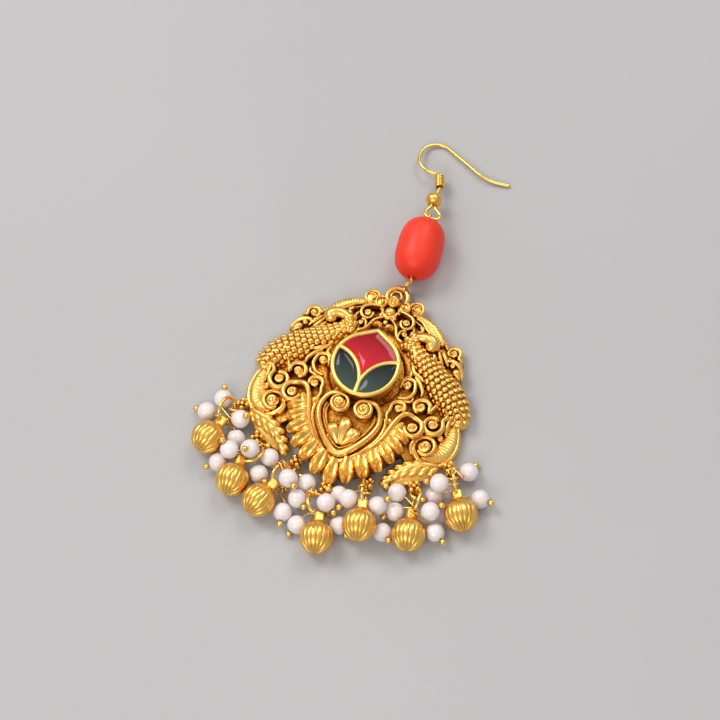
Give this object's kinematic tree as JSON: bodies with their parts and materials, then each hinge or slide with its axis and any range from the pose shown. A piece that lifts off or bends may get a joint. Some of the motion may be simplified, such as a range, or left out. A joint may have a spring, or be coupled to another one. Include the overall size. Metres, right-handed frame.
{
  "type": "maang tikka",
  "caption": "Forehead pendant of domed gilt casting with a stone setting, a coral bead and wire hook above, and a fringe of fluted beads and pearls on jump rings below.",
  "frame": {"origin": "on the casting's flat back, under the middle of the stone setting", "axes": "+Y towards the hair hook, +X to the right as seen from the ornamented face, +Z out of the ornamented face"},
  "size_m": [0.0574, 0.0838, 0.0085],
  "materials": {
    "antique_gold": "gilt, satin, with dark red-brown patina in the recesses",
    "setting_gold": "gilt, polished rim and darker wall",
    "bead_gold": "gilt, satin",
    "wire_gold": "gilt, bright",
    "ruby_stone": "glossy, deep red",
    "green_stone": "glossy, very dark green",
    "coral": "glossy, orange-red",
    "pearl": "satin, pinkish white"
  },
  "bodies": {
    "root": {"pendant_casting": "antique_gold", "stone_setting": "setting_gold", "red_stone": "ruby_stone", "green_stone_left": "green_stone", "green_stone_right": "green_stone", "coral_bead": "coral", "bead_wire": "wire_gold", "hook_wire": "wire_gold", "hook_coil": "wire_gold", "hook_ball": "wire_gold", "jump_ring_1": "wire_gold", "melon_bead_1": "bead_gold", "pearls_1": "pearl", "pearl_pins_1": "wire_gold", "jump_ring_2": "wire_gold", "melon_bead_2": "bead_gold", "pearls_2": "pearl", "pearl_pins_2": "wire_gold", "jump_ring_3": "wire_gold", "melon_bead_3": "bead_gold", "pearls_3": "pearl", "pearl_pins_3": "wire_gold", "jump_ring_4": "wire_gold", "melon_bead_4": "bead_gold", "pearls_4": "pearl", "pearl_pins_4": "wire_gold", "jump_ring_5": "wire_gold", "melon_bead_5": "bead_gold", "pearls_5": "pearl", "pearl_pins_5": "wire_gold", "jump_ring_6": "wire_gold", "melon_bead_6": "bead_gold", "pearls_6": "pearl", "pearl_pins_6": "wire_gold", "jump_ring_7": "wire_gold", "melon_bead_7": "bead_gold", "pearls_7": "pearl", "pearl_pins_7": "wire_gold"}
  },
  "joints": []
}
